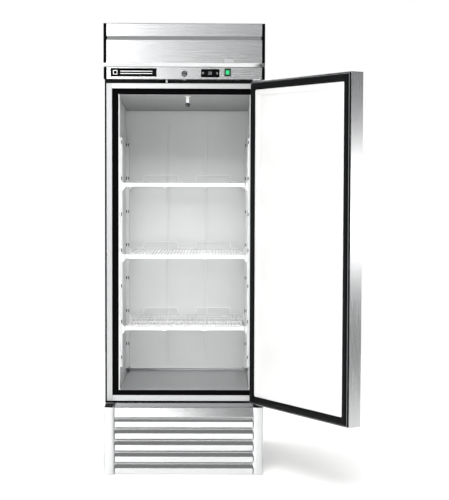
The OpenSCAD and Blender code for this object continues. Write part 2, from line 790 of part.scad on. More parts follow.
// Folded stainless pan: outer face, four edges and a flange around the inside
module door_inside() {
    w = door_half - sheet;
    block(-w, w, door_y0 + sheet, door_y1 - sheet, door_z0 + sheet, door_z1 - sheet);
}
module door_skin() {
    color(STEEL) on_door() difference() {
        block(-door_half, door_half, door_y0, door_y1, door_z0, door_z1);
        door_inside();
        block(-298, 298, door_y1 - 2, door_y1 + 1, door_z0 + 42, door_z1 - 42);
        front_plate(handle_x, handle_z, handle_w, handle_h, 12, door_y0 - 1, door_y0 + 2);
        rod_z(pivot_x, pivot[1], door_z0 - 1, door_z0 + 2, 9);
        rod_z(pivot_x, pivot[1], door_z1 - 2, door_z1 + 1, 9);
        block(lock_x - 8, lock_x + 8, bolt_y - 3, bolt_y + bolt_t + 3, door_z1 - 2, door_z1 + 1);
    }
}

module door_foam() {
    color(FOAM) on_door() difference() {
        union() {
            door_inside();
            block(-298, 298, door_y1 - sheet, door_y1, door_z0 + 42, door_z1 - 42);
        }
        front_plate(handle_x, handle_z, handle_w, handle_h, 12, door_y0, door_y0 + 34);
        rod_z(pivot_x, pivot[1], door_z0, door_z0 + 32, 9);
        rod_z(pivot_x, pivot[1], door_z1 - 32, door_z1, 9);
        block(lock_x - 8, lock_x + 8, bolt_y - 3, bolt_y + bolt_t + 3, door_z1 - 14, door_z1);
    }
}

// White inner panel of the door, raised inside the gasket
module door_liner() {
    color(WHITE) on_door() difference() {
        block(-303.5, 303.5, door_y1, door_y1 + 7, door_z0 + 36.5, door_z1 - 36.5);
        block(-301, 301, door_y1 - 1, door_y1 + 4.5, door_z0 + 39, door_z1 - 39);
    }
}

// Magnetic gasket: a flat root and a soft bulb that meets the frame
module door_gasket() {
    color(BLACK) on_door() difference() {
        union() {
            block(-338, 338, door_y1, door_y1 + 6, door_z0 + 2, door_z1 - 3.5);
            block(-330, 330, door_y1 + 6, gasket_y, door_z0 + 10, door_z1 - 10);
        }
        block(-304, 304, door_y1 - 1, gasket_y + 1, door_z0 + 36, door_z1 - 36);
        block(-309, 309, door_y1 + 6, gasket_y + 1, door_z0 + 31, door_z1 - 31);
    }
}

// Recessed pull in the outer face near the free edge
module handle_cup() {
    wall = 2;
    color(BLACK) on_door() difference() {
        front_plate(handle_x, handle_z, handle_w, handle_h, 12, door_y0, door_y0 + 34);
        front_plate(handle_x, handle_z, handle_w - 2 * wall, handle_h - 2 * wall, 10,
            door_y0 - 1, door_y0 + 32);
    }
}

side_panel_left();
side_panel_right();
back_panel();
top_panel();
box_floor_panel();
cabinet_foam();
liner_left();
liner_right();
liner_back();
liner_top();
floor_pan();
rear_duct_panel();
face_frame();
thermal_breaker();
edge_trims();
header_frame();
header_top_strip();
header_fascia();
control_panel();
header_end_caps();
badge_plate();
thermostat();
button_set();
button_adjust();
rocker_bezel();
power_rocker();
lock_housing();
lock_barrel();
lock_bolt();
door_switch_body();
door_switch_plunger();
pilasters();
shelf_clips();
shelf_top();
shelf_middle();
shelf_bottom();
evaporator_cover();
evaporator_coil();
evaporator_fan();
evaporator_fan_mount();
interior_lamp();
base_frame();
corner_posts();
front_grille();
rear_grille();
compressor();
condenser_coil();
condenser_fan();
condenser_fan_mount();
drain_pan();
refrigerant_lines();
electrical_box();
hinge_bracket_top();
hinge_bracket_bottom();
hinge_bushes();
door_skin();
door_liner();
door_foam();
door_gasket();
handle_cup();
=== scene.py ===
"""Looks of a single-door reach-in refrigerator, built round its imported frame.

+X is to the right, +Y to the back and +Z up. The door stands open in front, at -Y.
Shapes are worked out in millimetres and become metres when a mesh is made.
"""

import json
import math

import bmesh
import bpy
import numpy as np
from mathutils import Matrix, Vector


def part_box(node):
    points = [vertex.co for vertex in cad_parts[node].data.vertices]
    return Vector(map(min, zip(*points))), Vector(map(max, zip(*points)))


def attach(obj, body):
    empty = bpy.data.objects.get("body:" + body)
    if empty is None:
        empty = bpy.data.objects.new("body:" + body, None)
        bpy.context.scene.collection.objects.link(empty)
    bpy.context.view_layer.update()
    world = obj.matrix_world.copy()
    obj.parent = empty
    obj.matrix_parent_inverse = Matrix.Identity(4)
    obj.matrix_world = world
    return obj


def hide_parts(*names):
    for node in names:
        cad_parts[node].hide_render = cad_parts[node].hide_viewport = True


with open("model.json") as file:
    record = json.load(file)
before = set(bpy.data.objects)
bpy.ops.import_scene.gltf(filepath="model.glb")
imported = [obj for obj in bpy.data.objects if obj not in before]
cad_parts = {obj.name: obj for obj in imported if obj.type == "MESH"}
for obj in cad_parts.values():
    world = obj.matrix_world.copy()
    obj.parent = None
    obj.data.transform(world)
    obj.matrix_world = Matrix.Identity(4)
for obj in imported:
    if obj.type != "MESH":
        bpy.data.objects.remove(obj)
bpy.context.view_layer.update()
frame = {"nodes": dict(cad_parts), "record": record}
MM = 0.001
TURN = 2 * math.pi


# ---- places taken from the frame ----

def span(node):
    """Lowest and highest corner of a CAD node at rest, in millimetres."""
    low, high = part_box(node)
    return np.array(low) / MM, np.array(high) / MM


LIP_HALF = span("liner_right")[0][0]
hinge = next(j for j in frame["record"]["behaviour"]["joints"] if j["name"] == "door_hinge")
HINGE_X, HINGE_Y = (value / MM for value in hinge["pos_m"][:2])
DOOR_OPEN = -math.radians(hinge["range_deg"][0])


def open_door(points):
    """Turns points drawn on the closed door about the hinge line, by the angle at which the door stands open."""
    x, y = points[:, 0] - HINGE_X, points[:, 1] - HINGE_Y
    cos, sin = math.cos(DOOR_OPEN), math.sin(DOOR_OPEN)
    return np.stack([HINGE_X + x * cos - y * sin, HINGE_Y + x * sin + y * cos, points[:, 2]], -1)


# ---- camera, lights and floor ----

def place_camera():
    """Camera at chest height in front of the cabinet, turned by yaw, then down by tilt, then by a slight roll."""
    lens = bpy.data.cameras.new("studio_camera")
    lens.lens = 96.58
    camera = bpy.data.objects.new("studio_camera", lens)
    yaw, tilt, roll = math.radians(0.479), math.radians(2.992), math.radians(0.176)
    turn = Matrix.Rotation(-yaw, 4, "Z") @ Matrix.Rotation(math.pi / 2 - tilt, 4, "X")
    camera.matrix_world = Matrix.Translation((0.1252, -6.1144, 1.2703)) @ turn @ Matrix.Rotation(roll, 4, "Z")
    bpy.context.scene.collection.objects.link(camera)
    bpy.context.scene.camera = camera


def softbox(name, place, target, width, height, power):
    """Rectangular soft light at a place, facing a target, both in metres."""
    light = bpy.data.lights.new(name, "AREA")
    light.shape = "RECTANGLE"
    light.size = width
    light.size_y = height
    light.energy = power
    lamp = bpy.data.objects.new(name, light)
    forward = np.array(target, float) - np.array(place, float)
    forward /= np.linalg.norm(forward)
    side = np.cross(forward, (0, 0, 1))
    side /= np.linalg.norm(side)
    up = np.cross(side, forward)
    matrix = Matrix.Identity(4)
    for column, axis in enumerate((side, up, -forward)):
        for row in range(3):
            matrix[row][column] = axis[row]
    lamp.matrix_world = Matrix.Translation(place) @ matrix
    bpy.context.scene.collection.objects.link(lamp)


# ---- materials ----

def srgb(code):
    """Linear colour of an sRGB hex code, by the sRGB transfer curve."""
    value = np.array([int(code[i:i + 2], 16) for i in (0, 2, 4)]) / 255
    linear = np.where(value <= 0.04045, value / 12.92, ((value + 0.055) / 1.055) ** 2.4)
    return (*linear.tolist(), 1.0)


def add(tree, kind, values=None, links=None, **settings):
    """Adds a shader node: settings are its own choices, values fill its sockets and links feed them."""
    node = tree.nodes.new("ShaderNode" + kind)
    for key, value in settings.items():
        setattr(node, key, value)
    for key, value in (values or {}).items():
        node.inputs[key].default_value = value
    for key, source in (links or {}).items():
        tree.links.new(source, node.inputs[key])
    return node


def start(name, **sockets):
    """A new material with a Principled shader: returns it, its tree, the shader and the Object coordinates."""
    material = bpy.data.materials.new(name)
    material.use_nodes = True
    tree = material.node_tree
    tree.nodes.clear()
    shader = add(tree, "BsdfPrincipled", {key.replace("_", " "): value for key, value in sockets.items()})
    add(tree, "OutputMaterial", links={"Surface": shader.outputs[0]})
    return material, tree, shader, add(tree, "TexCoord").outputs["Object"]


def noise(tree, where, size_mm, detail=2.0, stretch=(1, 1, 1), rough=0.5):
    """Noise whose features are about size_mm across, longer along an axis where stretch is above 1."""
    scale = [1 / (size_mm * MM * s) for s in stretch]
    place = add(tree, "Mapping", {"Scale": scale}, {"Vector": where})
    return add(tree, "TexNoise", {"Scale": 1.0, "Detail": detail, "Roughness": rough},
               {"Vector": place.outputs[0]}).outputs["Fac"]


def between(tree, source, low, high, start_at=0.3, end_at=0.7):
    """Maps a pattern's middle range onto low to high."""
    return add(tree, "MapRange", {"From Min": start_at, "From Max": end_at, "To Min": low, "To Max": high},
               {"Value": source}).outputs["Result"]


def tint(tree, source, dark, light, start_at=0.3, end_at=0.7):
    """Runs from the dark to the light hex colour as a pattern rises."""
    ramp = add(tree, "ValToRGB", links={"Fac": source})
    ramp.color_ramp.elements[0].position = start_at
    ramp.color_ramp.elements[1].position = end_at
    ramp.color_ramp.elements[0].color = srgb(dark)
    ramp.color_ramp.elements[1].color = srgb(light)
    return ramp.outputs["Color"]


def raised(tree, shader, height, depth_mm, strength=1.0, under=None):
    """Bumps the shader by a height pattern that is depth_mm deep from 0 to 1."""
    links = {"Height": height}
    if under is not None:
        links["Normal"] = under
    bump = add(tree, "Bump", {"Strength": strength, "Distance": depth_mm * MM}, links)
    tree.links.new(bump.outputs["Normal"], shader.inputs["Normal"])
    return bump.outputs["Normal"]


def brushed_stainless(name, grain, dark="cacbcc", light="cfd0d1", roughness=0.26):
    """AISI 304 sheet, No. 4 brushed: a belt leaves long fine scratches along the grain axis.

    The grain is 0 for X and 2 for Z. The scratches are 0.1 mm wide on the real sheet and are drawn 1.1 mm wide so
    that they show. They show in colour and gloss, and have hardly any relief.
    The sheet's slight waves, about 300 mm long, bend its reflections a little.
    """
    material, tree, shader, where = start(name, Metallic=1.0, Roughness=roughness)
    stretch = [1, 1, 1]
    stretch[grain] = 160
    lines = noise(tree, where, 1.1, 3, stretch, 0.6)
    tree.links.new(tint(tree, lines, dark, light), shader.inputs["Base Color"])
    tree.links.new(between(tree, lines, roughness - 0.02, roughness + 0.02), shader.inputs["Roughness"])
    waves = raised(tree, shader, noise(tree, where, 300, 1), 0.1)
    raised(tree, shader, lines, 0.0005, 0.1, waves)
    return material


def moulded(name, dark, light, roughness, grain_mm=0.9, depth_mm=0.02, **sockets):
    """Moulded or coated surface: a fine even grain from the tool or spray, and a slow drift of its colour."""
    material, tree, shader, where = start(name, Roughness=roughness, **sockets)
    tree.links.new(tint(tree, noise(tree, where, 160, 2), dark, light), shader.inputs["Base Color"])
    grain = noise(tree, where, grain_mm, 2)
    tree.links.new(between(tree, grain, roughness - 0.04, roughness + 0.05), shader.inputs["Roughness"])
    raised(tree, shader, grain, depth_mm)
    return material


def galvanised(name):
    """Hot-dip galvanised sheet: zinc crystals 8 to 15 mm across, each catching the light differently."""
    material, tree, shader, where = start(name, Metallic=0.85, Roughness=0.45)
    spread = add(tree, "VectorMath", {1: (0.003, 0.003, 0.003)},
                 {0: noise(tree, where, 9, 2)}, operation="MULTIPLY")
    moved = add(tree, "VectorMath", links={0: where, 1: spread.outputs[0]}, operation="ADD")
    cells = add(tree, "TexVoronoi", {"Scale": 95.0}, {"Vector": moved.outputs[0]})
    level = add(tree, "SeparateColor", links={"Color": cells.outputs["Color"]}).outputs["Red"]
    tree.links.new(tint(tree, level, "8b9093", "a9adb0", 0.1, 0.9), shader.inputs["Base Color"])
    tree.links.new(between(tree, level, 0.38, 0.56, 0.0, 1.0), shader.inputs["Roughness"])
    raised(tree, shader, noise(tree, where, 3, 2), 0.02)
    return material


def plated(name, dark, light, roughness, grain_mm=6.0):
    """Plated or cast metal: cloudy in its colour and gloss, with a faint pitted grain."""
    material, tree, shader, where = start(name, Metallic=1.0, Roughness=roughness)
    cloud = noise(tree, where, grain_mm, 3)
    tree.links.new(tint(tree, cloud, dark, light), shader.inputs["Base Color"])
    tree.links.new(between(tree, cloud, roughness - 0.05, roughness + 0.08), shader.inputs["Roughness"])
    raised(tree, shader, noise(tree, where, 0.8, 2), 0.01)
    return material


def foam(name):
    """Poured polyurethane foam: pale yellow cells under 1 mm with larger blow holes."""
    material, tree, shader, where = start(name, Roughness=0.9)
    cells = add(tree, "TexVoronoi", {"Scale": 700.0}, {"Vector": where}).outputs["Distance"]
    tree.links.new(tint(tree, cells, "c9b678", "e6d9a6", 0.0, 0.6), shader.inputs["Base Color"])
    raised(tree, shader, cells, 0.4)
    return material


def glowing(name, colour, power):
    """Lit translucent plastic under a clear gloss: one even colour that gives off a little of its own light."""
    return start(name, Base_Color=srgb(colour), Roughness=0.3, Emission_Strength=power,
                 Emission_Color=srgb(colour), Coat_Weight=0.4)[0]


def smoked_glass(name):
    """Smoked lamp glass: nearly black, smooth, with faint waves from blowing."""
    material, tree, shader, where = start(name, Roughness=0.06, IOR=1.52, Coat_Weight=0.5)
    tree.links.new(tint(tree, noise(tree, where, 6, 1), "0c0c0d", "202123"), shader.inputs["Base Color"])
    raised(tree, shader, noise(tree, where, 5, 1), 0.02)
    return material


STEEL_UPRIGHT = brushed_stainless("brushed_stainless_grain_upright", 2)
STEEL_LEVEL = brushed_stainless("brushed_stainless_grain_level", 0)
# The copies below keep the sheet's grain but change its colour from part to part as painted light: the floor, upright
# and rail copies are darker, painted shade, and the grille and post copies are lighter, painted highlight.
STEEL_FLOOR_PAINTED_SHADE = brushed_stainless("brushed_stainless_floor_painted_shade_grain_level", 0, "b9babb", "c4c5c6", 0.34)
STEEL_GRILLE_PAINTED_HIGHLIGHT = brushed_stainless("brushed_stainless_grille_painted_highlight_grain_level", 0, "dcddde", "e2e3e4", 0.18)
STEEL_STILE_PAINTED_SHADE = brushed_stainless("brushed_stainless_stile_painted_shade_grain_upright", 2, "b6b7b8", "bcbdbe", 0.46)
STEEL_RAIL_PAINTED_SHADE = brushed_stainless("brushed_stainless_rail_painted_shade_grain_level", 0, "c2c3c4", "c8c9ca", 0.4)
STEEL_POST_PAINTED_HIGHLIGHT = brushed_stainless("brushed_stainless_post_painted_highlight_grain_upright", 2, "d2d3d4", "d9dadb", 0.34)
ZINC_SHEET = galvanised("hot_dip_galvanised_steel")
COATED_WHITE = moulded("polyester_coated_aluminium_white", "e1e2e2", "e5e6e6", 0.45, 1.6, 0.012,
                       Specular_IOR_Level=0.3)
# A darker grey copy of the white liner coat: its grey is painted shade on the evaporator cover, which forms the
# ceiling.
COATED_GREY_PAINTED_SHADE = moulded("polyester_coated_aluminium_painted_shade_grey", "9c9d9d", "a0a1a1", 0.5, 1.6, 0.012,
                      Specular_IOR_Level=0.3)
ABS_WHITE = moulded("abs_vacuum_formed_white", "e4e4e3", "e9e9e8", 0.38, 1.2, 0.015, Specular_IOR_Level=0.3)
# Blacks have far less gloss than the usual specular level of 0.5, so that they stay black in strong light.
ABS_BLACK = moulded("abs_black_fine_grain", "020203", "030304", 0.6, 0.9, 0.03, Specular_IOR_Level=0.03)
PVC_BLACK = moulded("pvc_gasket_black", "08090a", "0c0d0e", 0.55, 1.4, 0.03, Specular_IOR_Level=0.08)
# This grey is painted shade in the header groove and a painted highlight line on the gasket, and it also edges the
# rating plate.
GREY_COAT_AND_PAINTED_LIGHT = moulded("grey_powder_coat_and_painted_light", "6b6c6d", "737475", 0.5, 1.1, 0.03)
POWDER_BLACK = moulded("powder_coated_steel_black", "0a0a0b", "0e0e0f", 0.5, 1.0, 0.03, Specular_IOR_Level=0.12)
SEALANT_GREY = moulded("silicone_sealant_grey", "6f7071", "797a7b", 0.55, 2.0, 0.05)
EPOXY_WHITE = moulded("epoxy_coated_wire_white", "f8f8f8", "fcfcfc", 0.28, 1.5, 0.02, Coat_Weight=0.3)
NYLON_WHITE = moulded("nylon_moulded_white", "f0f0ee", "f5f5f3", 0.35, 1.0, 0.01)
ACRYLIC_BLACK = moulded("acrylic_gloss_black", "030303", "050506", 0.12, 2.5, 0.001, Specular_IOR_Level=0.2)
KEY_BLACK = moulded("silicone_key_black", "17181a", "1d1e20", 0.5, 0.7, 0.02, Specular_IOR_Level=0.2)
GREEN_FRAME = moulded("polycarbonate_bezel_dark_green", "022512", "04351b", 0.25, 1.2, 0.01, Coat_Weight=0.3)
CHROME = plated("chromed_zinc_casting", "b9babc", "c9cacc", 0.14)
ZINC_PLATE = plated("zinc_plated_steel", "a3a6a8", "babdbf", 0.32)
FIN_METAL = plated("aluminium_fin_stock", "b5b7b9", "c6c8ca", 0.36)
COPPER = plated("drawn_copper_tube", "b06a45", "c98259", 0.3, 14.0)
SILVER_INLAY = plated("anodised_aluminium_inlay", "e2e3e4", "eeeff0", 0.3)
INSULATION = foam("polyurethane_foam")
ROCKER_GREEN = glowing("polycarbonate_rocker_lit_green", "0aa862", 0.25)
DIGIT_GLOW = glowing("led_digit_dim_white", "7f8486", 0.12)
LAMP_GLASS = smoked_glass("smoked_lamp_glass")


# ---- shapes, in millimetres ----

def strips(rows, columns, close_rows=False, close_columns=False):
    """Quads between neighbouring points of a grid, wrapped round in a direction that closes."""
    i, j = np.meshgrid(np.arange(rows if close_rows else rows - 1),
                       np.arange(columns if close_columns else columns - 1), indexing="ij")
    k, m = (i + 1) % rows, (j + 1) % columns
    return np.stack([i * columns + j, i * columns + m, k * columns + m, k * columns + j], -1).reshape(-1, 4)


def unit(vectors):
    """Vectors scaled to length one."""
    return vectors / np.maximum(np.linalg.norm(vectors, axis=-1, keepdims=True), 1e-9)


def outline(half_w, half_h, radius, steps=6):
    """Rounded rectangle about the origin: a quarter circle about each corner's centre, anticlockwise."""
    angle = np.arange(4)[:, None] * TURN / 4 + np.linspace(0, TURN / 4, steps)
    x = np.array([1, -1, -1, 1])[:, None] * (half_w - radius) + radius * np.cos(angle)
    z = np.array([1, 1, -1, -1])[:, None] * (half_h - radius) + radius * np.sin(angle)
    return np.stack([x.ravel(), z.ravel()], -1)


def stacked(centre, half_w, half_h, radius, profile, ring=False, steps=6):
    """Rounded rectangles stacked along Y: a profile row is the step inside the outline, and the Y it lies at.

    A ring joins its last row to its first. Otherwise both ends are closed by a flat face.
    """
    loops = [outline(half_w - inset, half_h - inset, max(radius - inset, 0.3), steps) for inset, _ in profile]
    depth = np.repeat([y for _, y in profile], 4 * steps)
    flat = np.concatenate(loops)
    points = np.stack([centre[0] + flat[:, 0], depth, centre[1] + flat[:, 1]], -1)
    rows, columns = len(profile), 4 * steps
    faces = [strips(rows, columns, ring, True)]
    if not ring:
        faces += [np.arange(columns)[None], np.arange(columns)[None] + (rows - 1) * columns]
    return points, faces


def on_end(shell):
    """Stands a shape stacked along Y on its end, so that its profile runs along Z instead."""
    points, faces = shell
    return points[:, [0, 2, 1]], faces


def fillet(corners, radii, steps=5):
    """Line with its inner corners rounded: each arc starts and ends radius * tan(turn / 2) from its corner."""
    corners = np.asarray(corners, float)
    stretches = [corners[:1]]
    for before, corner, after, radius in zip(corners, corners[1:], corners[2:], radii):
        u, v = unit(corner - before), unit(after - corner)
        turn = math.acos(np.clip(u @ v, -1, 1))
        if turn < 0.01 or radius <= 0:
            stretches.append(corner[None])
            continue
        inward = unit(v - u * (u @ v))
        first = corner - u * radius * math.tan(turn / 2)
        angle = np.linspace(0, turn, steps)[:, None]
        stretches.append(first + radius * (np.sin(angle) * u + (1 - np.cos(angle)) * inward))
    stretches.append(corners[-1:])
    return np.concatenate(stretches)


def bent(corners, thickness, radius):
    """Outline of a folded sheet: its outer line and the line a thickness to its right, with every fold rounded."""
    corners = np.asarray(corners, float)
    along = unit(np.diff(corners, axis=0))
    right = np.stack([along[:, 1], -along[:, 0]], -1)
    sides = np.concatenate([right[:1], right, right[-1:]])
    a, b = sides[:-1], sides[1:]
    inner = corners + thickness * (a + b) / (1 + (a * b).sum(-1, keepdims=True))
    turn = along[:-1, 0] * along[1:, 1] - along[:-1, 1] * along[1:, 0]
    outer_radii = np.where(turn < 0, radius + thickness, radius)
    inner_radii = np.where(turn < 0, radius, radius + thickness)
    return np.concatenate([fillet(corners, outer_radii), fillet(inner, inner_radii)[::-1]])


def along_x(profile, x0, x1):
    """Prism along X from an outline of (y, z) points, closed at both ends."""
    profile = np.asarray(profile, float)
    count = len(profile)
    ends = [np.column_stack([np.full(count, x), profile]) for x in (x0, x1)]
    faces = [strips(2, count, False, True), np.arange(count)[None], np.arange(count)[None] + count]
    return np.concatenate(ends), faces


def swept(path, profile, across, closed=False):
    """Profile carried along a flat path.

    Its first number runs along the across axis, which is square to the path's plane. Its second runs along the
    path's own normal, lengthened at a corner so that the walls stay parallel.
    """
    path, profile, across = (np.asarray(values, float) for values in (path, profile, across))
    ahead, behind = np.roll(path, -1, 0) - path, path - np.roll(path, 1, 0)
    if not closed:
        ahead[-1], behind[0] = behind[-1], ahead[0]
    ahead = unit(ahead)
    tangent = unit(ahead + unit(behind))
    normal = np.cross(tangent, across) / (ahead * tangent).sum(-1, keepdims=True)
    points = path[:, None] + profile[None, :, :1] * across + profile[None, :, 1:] * normal[:, None]
    rows, columns = len(path), len(profile)
    faces = [strips(rows, columns, closed, True)]
    if not closed:
        faces += [np.arange(columns)[None], np.arange(columns)[None] + (rows - 1) * columns]
    return points.reshape(-1, 3), faces


def circle(radius, sides=8):
    """Points of a circle."""
    angle = np.arange(sides) * TURN / sides
    return radius * np.stack([np.cos(angle), np.sin(angle)], -1)


def lathe(profile, place, axis, sides=24):
    """Surface of revolution: each profile row is a radius and a height along the axis, turned about it."""
    profile, axis = np.asarray(profile, float), np.asarray(axis, float)
    side = unit(np.cross(axis, (0.3, 0.5, 0.8)))
    ring = circle(1.0, sides)
    round_ = ring[:, :1] * side + ring[:, 1:] * np.cross(axis, side)
    points = np.asarray(place) + profile[:, None, 1:] * axis + profile[:, None, :1] * round_
    rows = len(profile)
    caps = [np.arange(sides)[None], np.arange(sides)[None] + (rows - 1) * sides]
    return points.reshape(-1, 3), [strips(rows, sides, False, True)] + caps


# ---- pieces ----

BODY_OF = {node: body for body, nodes in frame["record"]["behaviour"]["bodies"].items() for node in nodes}


def finish_piece(name, mesh, material, node, stands_for):
    """Puts a mesh into the scene as a piece that rides with a node's body, and hides the node when the piece stands
    for it.
    """
    mesh.materials.clear()
    mesh.materials.append(material)
    item = bpy.data.objects.new(name, mesh)
    bpy.context.scene.collection.objects.link(item)
    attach(item, BODY_OF[node])
    if stands_for:
        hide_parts(node)
    return item


def piece(name, shells, material, node, stands_for=False, sharp=40):
    """Makes one mesh of shells, each (points, lists of faces), its faces outwards and its soft edges smooth.

    What rides on the door is drawn on the closed door and turned open here.
    """
    faces, first = [], 0
    for points, groups in shells:
        for group in groups:
            faces += (np.asarray(group) + first).tolist()
        first += len(points)
    points = np.concatenate([points for points, _ in shells])
    if BODY_OF[node] == "door":
        points = open_door(points)
    mesh = bpy.data.meshes.new(name)
    mesh.from_pydata(points * MM, [], faces)
    work = bmesh.new()
    work.from_mesh(mesh)
    bmesh.ops.recalc_face_normals(work, faces=work.faces)
    work.to_mesh(mesh)
    work.free()
    mesh.shade_smooth()
    mesh.set_sharp_from_angle(angle=math.radians(sharp))
    item = finish_piece(name, mesh, material, node, stands_for)
    flats = item.modifiers.new("level_flats", "WEIGHTED_NORMAL")
    flats.keep_sharp = True
    return item


def softened(node, material, width, segments=2, sharp=40):
    """A merged copy of a CAD node whose edges are rounded by width, which stands for the node."""
    work = bmesh.new()
    work.from_mesh(frame["nodes"][node].data)
    bmesh.ops.remove_doubles(work, verts=work.verts, dist=2e-6)
    bmesh.ops.dissolve_limit(work, angle_limit=math.radians(0.5), verts=work.verts, edges=work.edges)
    mesh = bpy.data.meshes.new(node + "_soft")
    work.to_mesh(mesh)
    work.free()
    for layer in ("custom_normal", "sharp_edge", "sharp_face"):
        if layer in mesh.attributes:
            mesh.attributes.remove(mesh.attributes[layer])
    mesh.shade_smooth()
    mesh.set_sharp_from_angle(angle=math.radians(sharp))
    item = finish_piece(node + "_soft", mesh, material, node, True)
    bevel = item.modifiers.new("rounded_edges", "BEVEL")
    bevel.width = width * MM
    bevel.segments = segments
    bevel.limit_method = "ANGLE"
    bevel.angle_limit = math.radians(sharp)
    bevel.harden_normals = True
    return item


def dress(node, material):
    """Gives a CAD node that stays as it is a real finish."""
    for place in frame["nodes"][node].material_slots:
        place.material = material


# ---- cabinet ----

def make_cabinet():
    """Outer sheets, liner and frame: most of the folded sheets and plastics keep a small rounding on their edges."""
    for node in ("side_panel_left", "side_panel_right"):
        softened(node, STEEL_UPRIGHT, 0.5)
    for node in ("top_panel", "rear_grille"):
        softened(node, ZINC_SHEET, 0.4)
    for node in ("box_floor_panel", "base_frame"):
        dress(node, ZINC_SHEET)
    for node in ("cabinet_foam", "door_foam"):
        dress(node, INSULATION)
    for node in ("liner_back", "liner_top"):
        dress(node, COATED_WHITE)
    for node in ("liner_left", "liner_right"):
        softened(node, COATED_WHITE, 0.45)
    # The evaporator cover takes the grey copy of the liner coat, painted shade on the ceiling.
    softened("evaporator_cover", COATED_GREY_PAINTED_SHADE, 0.45)
    softened("shelf_clips", EPOXY_WHITE, 1.0, 3)
    softened("thermal_breaker", ABS_BLACK, 1.2, 3)
    softened("edge_trims", ABS_BLACK, 0.6)


def make_back_panel():
    """Back sheet pressed out inside its rim, with low domed screws along the rim and two plugged filling holes."""
    low, high = span("back_panel")
    centre = 0, (low[2] + high[2]) / 2
    half_w, half_h, rim = high[0], (high[2] - low[2]) / 2, low[1] + 0.5
    pressing = [(0, low[1]), (0, rim), (20, rim), (22, high[1] - 0.1), (24, high[1])]
    piece("pressed_back_panel", [stacked(centre, half_w, half_h, 1, pressing)], ZINC_SHEET, "back_panel", True)
    head = [(0.3, 0.35), (1.3, 0.4), (1.6, 0.68), (3.4, 0.6), (4.6, 0.3), (4.8, -0.1)]
    heights = np.linspace(low[2] + 10, high[2] - 10, 7)
    places = [(side * (half_w - 10), z) for side in (-1, 1) for z in heights]
    places += [(x, z) for x in (-200, 0, 200) for z in (heights[0], heights[-1])]
    screws = [lathe(head, (x, rim, z), (0, 1, 0), 20) for x, z in places]
    piece("back_panel_screws", screws, ZINC_PLATE, "back_panel")
    plug = [(0.3, -0.5), (5, -0.5), (6, -0.15), (7.5, -0.05), (8, -0.6)]
    plugs = [lathe(plug, (x, high[1], high[2] - 60), (0, 1, 0), 28) for x in (-200, 200)]
    piece("filling_hole_plugs", plugs, NYLON_WHITE, "back_panel")


def make_face_frame():
    """Four folded strips round the opening, butted with a hairline between them: two uprights and two rails."""
    low, high = span("face_frame")
    inner_low, inner_high = span("thermal_breaker")
    gap, fold, depth = 0.25, 1.0, high[1]
    side = (high[0] - inner_high[0]) / 2
    edge = [(0, depth), (0, low[1] + fold), (0.3 * fold, low[1] + 0.3 * fold), (fold, low[1])]
    uprights = [stacked((x, (low[2] + high[2]) / 2), side, (high[2] - low[2]) / 2, 0.6, edge)
                for x in (low[0] + side, high[0] - side)]
    rails = []
    for z0, z1 in ((low[2], inner_low[2]), (inner_high[2], high[2])):
        rails.append(stacked((0, (z0 + z1) / 2), inner_high[0] - gap, (z1 - z0) / 2, 0.6, edge))
    # The uprights take a darker copy of the stainless, painted shade.
    piece("face_frame_uprights", uprights, STEEL_STILE_PAINTED_SHADE, "face_frame", True)
    # The rails take a slightly darker copy of the stainless, painted shade.
    piece("face_frame_rails", rails, STEEL_RAIL_PAINTED_SHADE, "face_frame")


def make_pilasters():
    """Slotted shelf channels, each with a black strip standing inside it as painted shade, which its slots open onto.
    """
    softened("pilasters", COATED_WHITE, 0.4)
    low, high = span("pilasters")
    depth, wall, strip_half, foot_gap, head_gap = 25, 1.2, 6.6, 80, 12
    centre = (high[0] - 8 + wall / 2, (low[2] + foot_gap + high[2] - head_gap) / 2)
    half_height = (high[2] - low[2] - (foot_gap + head_gap)) / 2
    # Black strips behind the slots are painted shade for the hollow inside each channel.
    painted_shade_strips = []
    for side in (-1, 1):
        for y in (low[1], high[1] - depth):
            profile = [(0, y + wall + 0.4), (0, y + 8), (0.6, y + 8.6)]
            painted_shade_strips.append(stacked((side * centre[0], centre[1]), strip_half, half_height, 0.5, profile))
    piece("pilaster_painted_shade_strips", painted_shade_strips, ABS_BLACK, "pilasters")


def make_floor_pan():
    """Pressed floor: a flat front flange, a pan whose sides curve up, a folded lip at its back, and side sealant."""
    low, high = span("floor_pan")
    pan_y = low[1] + 54
    half, flat = high[0], LIP_HALF + 0.5
    right = [(flat, low[2] + 2.2), (half - 3, low[2] + 7), (half - 0.3, low[2] + 13)]
    rise = fillet([(-x, z) for x, z in right[::-1]] + right, (6, 1.5, 1.5, 6), 5)
    under = [(half, low[2]), (-half, low[2])]
    section = np.concatenate([rise, under])
    count = len(section)
    points = np.concatenate([np.column_stack([section[:, 0], np.full(count, y), section[:, 1]])
                             for y in (pan_y, high[1])])
    pan = points, [strips(2, count, False, True), np.arange(count)[None], np.arange(count)[None] + count]
    flange = stacked((0, low[2] + 1.5), half - 10, 0.5, 0.45, [(0, low[1]), (0, pan_y)])
    lip = bent([(high[1] - 9, low[2] + 2.4), (high[1] - 3, low[2] + 2.8), (high[1] - 2.2, low[2] + 6.6)], 0.9, 1.0)
    # The floor pan takes the darker copy of the stainless, painted shade.
    piece("pressed_floor_pan", [pan, flange, along_x(lip, -half + 9, half - 9)], STEEL_FLOOR_PAINTED_SHADE, "floor_pan", True)
    beads = [swept([(x, pan_y, low[2] + 2.8), (x, high[1] - 1, low[2] + 2.8)], circle(1.5, 8), (1, 0, 0))
             for x in (-flat, flat)]
    piece("floor_sealant_beads", beads, SEALANT_GREY, "floor_pan")


